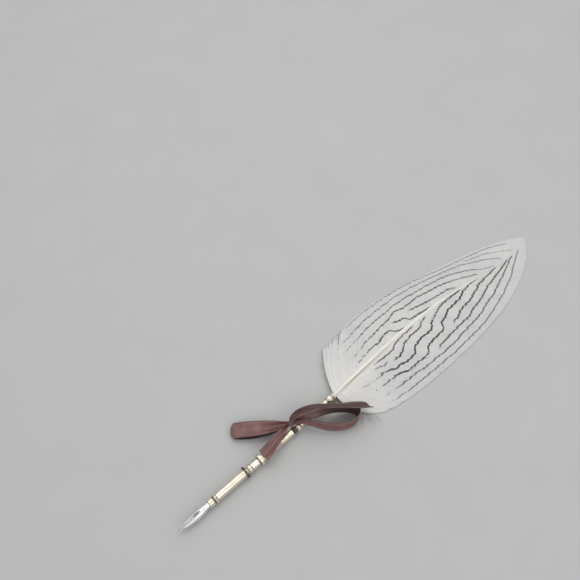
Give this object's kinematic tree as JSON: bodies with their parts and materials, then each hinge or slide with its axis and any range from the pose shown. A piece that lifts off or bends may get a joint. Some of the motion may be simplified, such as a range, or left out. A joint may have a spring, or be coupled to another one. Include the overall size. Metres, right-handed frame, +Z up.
{
  "type": "quill pen",
  "caption": "Quill dip pen lying flat: pointed steel nib in a turned metal holder with rings and a flange, a barred feather glued in its socket, and a satin ribbon bow.",
  "frame": {"origin": "the middle of the pen's box, on the surface that the pen lies on", "axes": "+X along the pen from the nib towards the feather's tip, +Z up from the surface, +Y to the feather's left when looking along +X"},
  "size_m": [0.276, 0.0614, 0.0156],
  "materials": {
    "steel": "polished bright steel",
    "holder": "polished, pale champagne plating",
    "darkened": "darkened in the recesses, half polished",
    "quill": "smooth cream keratin, satin",
    "vane": "pale grey-white barbs with narrow blackish bars",
    "glue": "clear amber, set",
    "satin": "brown satin weave"
  },
  "bodies": {
    "barrel": {"lower_bead": "holder", "spacer_tube": "holder", "flange_ring": "holder", "taper_section": "holder", "double_ring": "holder", "upper_tube": "holder", "neck_ring": "darkened", "upper_bead": "holder", "baluster": "holder", "socket_neck": "holder", "socket_cup": "holder", "top_ring": "darkened", "tie_rod": "steel", "socket_glue": "glue", "calamus": "quill", "shaft": "quill", "left_vane": "vane", "right_vane": "vane", "down_tuft": "vane", "ribbon_wrap": "satin", "ribbon_knot": "satin", "ribbon_left_loop": "satin", "ribbon_right_loop": "satin", "ribbon_left_tail": "satin", "ribbon_right_tail": "satin"},
    "washer": {"grip_washer": "darkened"},
    "grip": {"nib_core": "darkened", "nib_collar": "holder", "lip_ring": "holder", "grip_tube": "holder", "grip_stud": "steel"},
    "nib": {"nib": "steel"}
  },
  "joints": [
    {"name": "grip_travel", "type": "slide", "parent": "barrel", "child": "washer", "axis": [-1, 0, 0], "range_m": [0, 0.0025]},
    {"name": "grip_turn", "type": "hinge", "parent": "washer", "child": "grip", "pos_m": [-0.0921, 0.00042, 0.0036], "axis": [-1, 0, 0], "range_deg": [0, 1800]},
    {"name": "nib_pull", "type": "slide", "parent": "grip", "child": "nib", "axis": [-1, 0, 0], "range_m": [0, 0.013]}
  ],
  "couplings": [
    {"joint": "grip_turn", "follows": "grip_travel", "rad_per_m": 12566}
  ]
}
